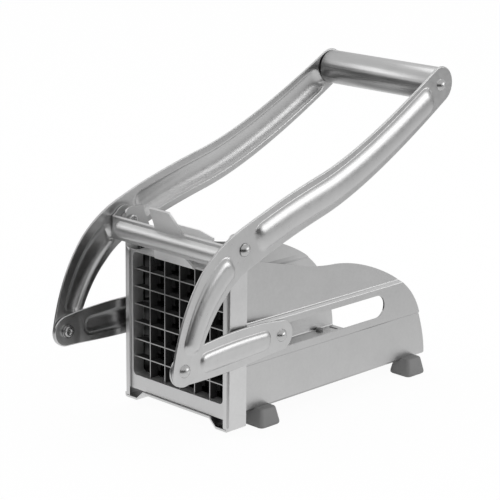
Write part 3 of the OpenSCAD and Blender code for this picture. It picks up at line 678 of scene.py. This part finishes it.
# %% Lever arms
ARM_FACE, ARM_BEND_Y = 48.6, 16.8
ARM_LEAN = 5.0 / (HANDLE[0] - ARM_BEND_Y)


def arm_face(y):
    """X of an arm's outer face: 48.6, then leaning inward by 5 mm on the way to the handle."""
    return ARM_FACE - ARM_LEAN * np.maximum(0, y - ARM_BEND_Y)


def arm_height(s, t):
    """Lower rib with a flat top, upper rib as one long dome: the higher of the two."""
    half = np.interp(s, [10, 45], [5.9, 7.4])
    low = rib(s, t, 9.5, 63.8, middle=-1.1, half=half, wall=5.9, height=2.3, sharpness=0.7, blunt=1.25)
    start, end = pivot_s + 9.5, handle_s - 9.8
    high = rib(s, t, start, end, middle=-0.2, half=8.3, wall=8.3, height=2.45, sharpness=0.8, blunt=1.35)
    return np.maximum(low, high)


def drilled(name, shells, holes):
    """A pressed plate with its rivet holes, each given as (place in Y and Z, radius)."""
    return carved(shell_mesh(name, shells), [side_cut(circle(place, radius)) for place, radius in holes])


def both_sides(shells):
    """The shells as they are for the right side, and with every X negated for the left one."""
    left = [(np.asarray(points) * [-1.0, 1.0, 1.0], faces) for points, faces in shells]
    return ("right", shells), ("left", left)


arm_halves = np.interp(arm_length, [0, 0.65 * pivot_s, knee_s, handle_s], [8.7, 12, 12, 10.8])
arm_shell = [pressed_plate(arm_line, arm_halves, arm_face, arm_height, across=81, steps=220)]
arm_holes = [(PIVOT, 2.06), (FRONT_PIVOT, 2.0), (HANDLE, 2.5)]
for side, shells in both_sides(arm_shell):
    name = f"arm_{side}"
    mesh = drilled(name, shells, arm_holes)
    piece(name, mesh, "lever", arm_steel, [f"lever_{name}"], sharp=62)

# %% [markdown]
# A link is a shorter pressing of the same sheet, so the arm's functions make it too. It lies inside
# its arm at the front and steps inward to the axle, so its face slopes between two level ends.

# %% Links
LINK_FRONT, LINK_REAR, LINK_LEVEL = 47.1, 42.6, 8.8
link_line = curve(FRONT_PIVOT, (FRONT_PIVOT + AXLE) / 2 + [0, 1.6], AXLE)
link_length = lengths(link_line)
print("link is", round(link_length[-1], 1), "mm long")


def link_face(y):
    """X of a link's outer face: level beside both ends and leaning inward between them."""
    return np.interp(y, [FRONT_PIVOT[0] + LINK_LEVEL, AXLE[0] - LINK_LEVEL], [LINK_FRONT, LINK_REAR])


def link_height(s, t):
    """One flat-topped rib, a little wider in the middle."""
    half = 5.3 + 1.0 * np.sin(np.pi * np.clip(s / link_length[-1], 0, 1))
    return rib(s, t, 12.4, 69.8, middle=-0.5, half=half, wall=4.6, height=1.7, sharpness=0.8, blunt=1.2)


link_halves = 8.8 + 2.0 * np.sin(np.pi * link_length / link_length[-1])
link_shell = [pressed_plate(link_line, link_halves, link_face, link_height, across=61, steps=130)]
link_holes = [(FRONT_PIVOT, 2.06), (AXLE, 2.0)]
for side, shells in both_sides(link_shell):
    name, node = f"link_plate_{side}", f"link_{side}"
    mesh = drilled(name, shells, link_holes)
    piece(name, mesh, node, arm_steel, [node], sharp=62)

# %% [markdown]
# The rivets were set from outside. On the inner side their shanks are spread into a small ring with
# a hollow, which the far arm and the far cheek show to the camera. A torus would have a hole where
# the hollow is, so the ring is a profile turned about the rivet's own axis.

# %% Rivet tails
TAIL_RADIUS, TAIL_DEPTH = 2.9, 0.7


def rivet_tail(x, place, steps=36):
    """A ring turned about X: radius against depth from the centre's hollow to the rim."""
    r = TAIL_RADIUS * np.array([0.02, 0.42, 0.55, 0.75, 0.92, 1.0, 0.5, 0.02])[:, None]
    d = TAIL_DEPTH * np.array([0.15, 0.2, 0.9, 1.0, 0.8, 0.0, -0.3, -0.3])[:, None]
    a = np.linspace(0, 2 * np.pi, steps, endpoint=False)
    return tube_shell(np.stack([x + d + 0 * a, place[0] + r * np.cos(a), place[1] + r * np.sin(a)], -1))


tails = (("tail_pivot_left", -39.0, PIVOT, "base"), ("tail_front_left", -44.3, FRONT_PIVOT, "lever"))
for name, x, place, body in tails:
    piece(name, shell_mesh(name, [rivet_tail(x, place)]), body, rivet_steel)


# %% [markdown]
# The trough is one sheet: floor, bends and two walls with a band that stands out by a millimetre.
# Extruded plane by plane it would have knife-sharp creases. It is drawn as a section with rounded
# creases instead, pulled along Y, widened at the front, and then cut to its side outline.

# %% The trough's section
TROUGH_SHEET, RIDE = 1.0, 8.8
FLOOR_HALF, BAND_HALF, TOP_HALF = 37.5, 38.4, 37.0


def rounded(points, radii, steps=5):
    """A polyline with each corner replaced by the curve (1-u)^2 a + 2u(1-u) corner + u^2 b, where a
    and b lie a tangent length radius * tan(turn / 2) before and after it."""
    points = [np.array(p, float) for p in points]
    out = [points[0][None]]
    for before, corner, after, radius in zip(points, points[1:], points[2:], radii):
        into, away = corner - before, after - corner
        into, away = into / np.linalg.norm(into), away / np.linalg.norm(away)
        reach = radius * math.tan(math.acos(np.clip(into @ away, -1, 1)) / 2)
        out.append(curve(corner - reach * into, corner, corner + reach * away, steps))
    return np.concatenate(out + [points[-1][None]])


def sheet_loop(line, thickness):
    """A closed loop: the line, then the same line set back by the thickness to its left, reversed."""
    along = directions(line)
    return np.concatenate([line, (line + thickness * np.stack([-along[:, 1], along[:, 0]], 1))[::-1]])


half_section = rounded(
    [
        (0, RIDE), (FLOOR_HALF, RIDE), (FLOOR_HALF, 35.6), (BAND_HALF, 36.5),
        (BAND_HALF, 57.9), (TOP_HALF, 60.0), (TOP_HALF, 97.5),
    ],
    [2.0, 1.2, 1.2, 1.2, 1.2],
)
section = np.concatenate([half_section[:0:-1] * [-1, 1], half_section])
loop = sheet_loop(section, TROUGH_SHEET)

# %% The trough's length and flared front
TROUGH_FRONT, TROUGH_END, WALL_HEIGHT = 9.8, 169.6, 88.7
FLARE, FLARE_FULL_Y, FLARE_START_Y, FLARE_HALF = 2.8, 12.8, 15.4, 40.3
rows_y = np.concatenate([
    [TROUGH_FRONT, 12.0, FLARE_FULL_Y], np.linspace(13.2, 16.4, 9), np.linspace(20, 172, 40),
])
flare = np.clip((FLARE_START_Y - rows_y) / 2.6, 0, 1)[:, None]
wide = loop[:, 0] * (1 + FLARE / FLOOR_HALF * flare)
wide = np.where(flare > 0, np.clip(wide, -FLARE_HALF, FLARE_HALF), wide)
trough_shell = tube_shell(np.stack([wide, rows_y[:, None] + 0 * wide, loop[:, 1] + 0 * wide], -1))
print("trough section has", len(loop), "points in", len(rows_y), "rows")

# %% The trough's side outline
# Shares of the rear end's Y and of the wall's height. Points 1, 3, 5, 7 and 9 lie on the wall's
# sloping edge, and each point between two of them pulls the curve that joins them.
shares = np.array([
    [0.366, 0.848], [0.448, 0.807], [0.531, 0.8], [0.66, 0.776], [0.798, 0.638],
    [0.926, 0.51], [0.961, 0.318], [1, 0.126], [1, 0],
])
knots = shares * [TROUGH_END, WALL_HEIGHT] + [0, RIDE]
side_outline = np.concatenate([
    [[TROUGH_FRONT, RIDE - 1], [TROUGH_FRONT, RIDE + WALL_HEIGHT]],
    *[curve(*knots[k : k + 3], 12)[int(k > 0) :] for k in (0, 2, 4, 6)],
    [[TROUGH_END, RIDE - 1]],
])


# %% Cut and place the trough
def slot_outline(start, end, middle, radius):
    """A slot with round ends: two half circles joined by straight sides."""
    a = np.linspace(-np.pi / 2, np.pi / 2, 17)
    arc = radius * np.stack([np.cos(a), np.sin(a)], 1)
    return np.concatenate([arc + [end - radius, middle], -arc + [start + radius, middle]])


def floor_cut(start, end):
    """A cutter for a short slot in the floor near its rear end, from start to end along X."""
    return [prism(slot_outline(start, end, 165.0, 1.1), 0, 12, 2)], "DIFFERENCE"


trough_mesh = carved(shell_mesh("trough_sheet", [trough_shell]), [
    side_cut(side_outline, "INTERSECT"),
    side_cut(slot_outline(24.0, 131.0, 47.4, 6.8)),
    floor_cut(28.2, 36.2),
    floor_cut(-36.2, -28.2),
])
piece("trough_sheet", trough_mesh, "base", wall_steel, ["trough"], bevel=0.2)


# %% [markdown]
# The feet are moulded rubber, held by a round button on the trough's floor. A bevelled cube would
# lack their swell. Each foot is a stack of rounded squares that swells out from a soft lower edge
# and tapers to the wall, with the trough's own outline cut from its top.

# %% Feet
FOOT_X, BUTTON_X = 37.5, 33.9
FOOT_Y = {"front": 30.2, "rear": 154.6}
FOOT_CORNER, FOOT_WIDEST = 2.6, 7.8


def rounded_square(half, radius, steps=8):
    """A square ring with corner arcs: 4 * (steps + 1) points."""
    a = np.linspace(0, np.pi / 2, steps + 1)
    arc = (half - radius) + radius * np.stack([np.cos(a), np.sin(a)], 1)
    quarters = np.arange(4) * np.pi / 2
    turns = [np.array([[math.cos(k), math.sin(k)], [-math.sin(k), math.cos(k)]]) for k in quarters]
    return np.concatenate([arc @ turn for turn in turns])


def stack_shell(x, y, heights, rings):
    """A closed shell from flat rings about (x, y), one at each height."""
    return tube_shell(np.stack([
        np.concatenate([ring + [x, y], np.full((len(ring), 1), z)], 1) for z, ring in zip(heights, rings)
    ]))


def foot_shell(x, y):
    """Rounded squares at heights z, with these half widths and a corner radius of a third of each."""
    z = [0.0, 0.15, 0.6, 1.3, 2.2, 4.0, 6.0, 8.4, 9.6, 10.2, 10.4]
    halves = [6.7, 7.2, 7.65, 7.8, 7.7, 7.3, 6.85, 6.3, 6.0, 5.6, 5.0]
    rings = [rounded_square(half, FOOT_CORNER * half / FOOT_WIDEST) for half in halves]
    return stack_shell(x, y, z, rings)


def button_shell(x, y):
    """A low domed disc on the floor: radius against height from its foot to its top."""
    z, radii = [9.5, 10.9, 11.25, 11.4, 11.4], [2.3, 2.3, 2.1, 1.5, 0.2]
    return stack_shell(x, y, z, [circle((0, 0), radius, 32) for radius in radii])


bed_outline = [(-FLOOR_HALF, 30), (-FLOOR_HALF, RIDE), (FLOOR_HALF, RIDE), (FLOOR_HALF, 30)]
bed_cut = ([prism(rounded(bed_outline, [2.0, 2.0]), 0, 200, 1)], "DIFFERENCE")
for side, sign in (("right", 1), ("left", -1)):
    for end, y in FOOT_Y.items():
        mesh = carved(shell_mesh("foot", [foot_shell(sign * FOOT_X, y)]), [bed_cut])
        foot = bmesh.new()
        for part in (mesh, shell_mesh("button", [button_shell(sign * BUTTON_X, y)])):
            foot.from_mesh(part)
        foot.to_mesh(mesh)
        foot.free()
        node = f"foot_{end}_{side}"
        piece(f"rubber_{end}_{side}", mesh, "base", foot_rubber, [node], sharp=50)

# %% [markdown]
# The other pieces keep the CAD surface, because its shape is right. The edge of real sheet catches a
# thin line of light, so a small Bevel breaks the sheared edges. The CAD's triangles are loose, and
# the Bevel needs them joined, which a Weld modifier does first. Blades, rivets and screws, too small
# for an edge to show, have neither.

# %% Finishes of the carried CAD nodes
rivets = [
    "pivot_spacers", "pivot_rivets", "handle_rod", "front_rivets", "rear_rivet_left",
    "rear_rivet_right", "pusher_screws", "pusher_axle",
]
carried = [
    (wall_steel, 0.18, ["pusher_plate"]),
    (frame_steel, 0.18, ["front_frame"]),
    (bar_steel, 0.18, ["gate_bar"]),
    (painted_highlight_steel, 0.15, ["cartridge_frame"]),
    (tube_steel, 0.2, ["handle_tube"]),
    (rivet_steel, 0.0, rivets),
    (blade_steel, 0.0, ["vertical_blades", "horizontal_blades"]),
    (black_plastic, 0.3, ["pusher_block", "handle_plugs"]),
]
for material, bevel, nodes in carried:
    for node in nodes:
        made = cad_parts[node]
        made.data.materials.clear()
        made.data.materials.append(material)
        if bevel:
            weld = made.modifiers.new("weld", "WELD")
            weld.merge_threshold = 1e-6
            soften(made, bevel)
    print(material.name, "on", ", ".join(nodes))
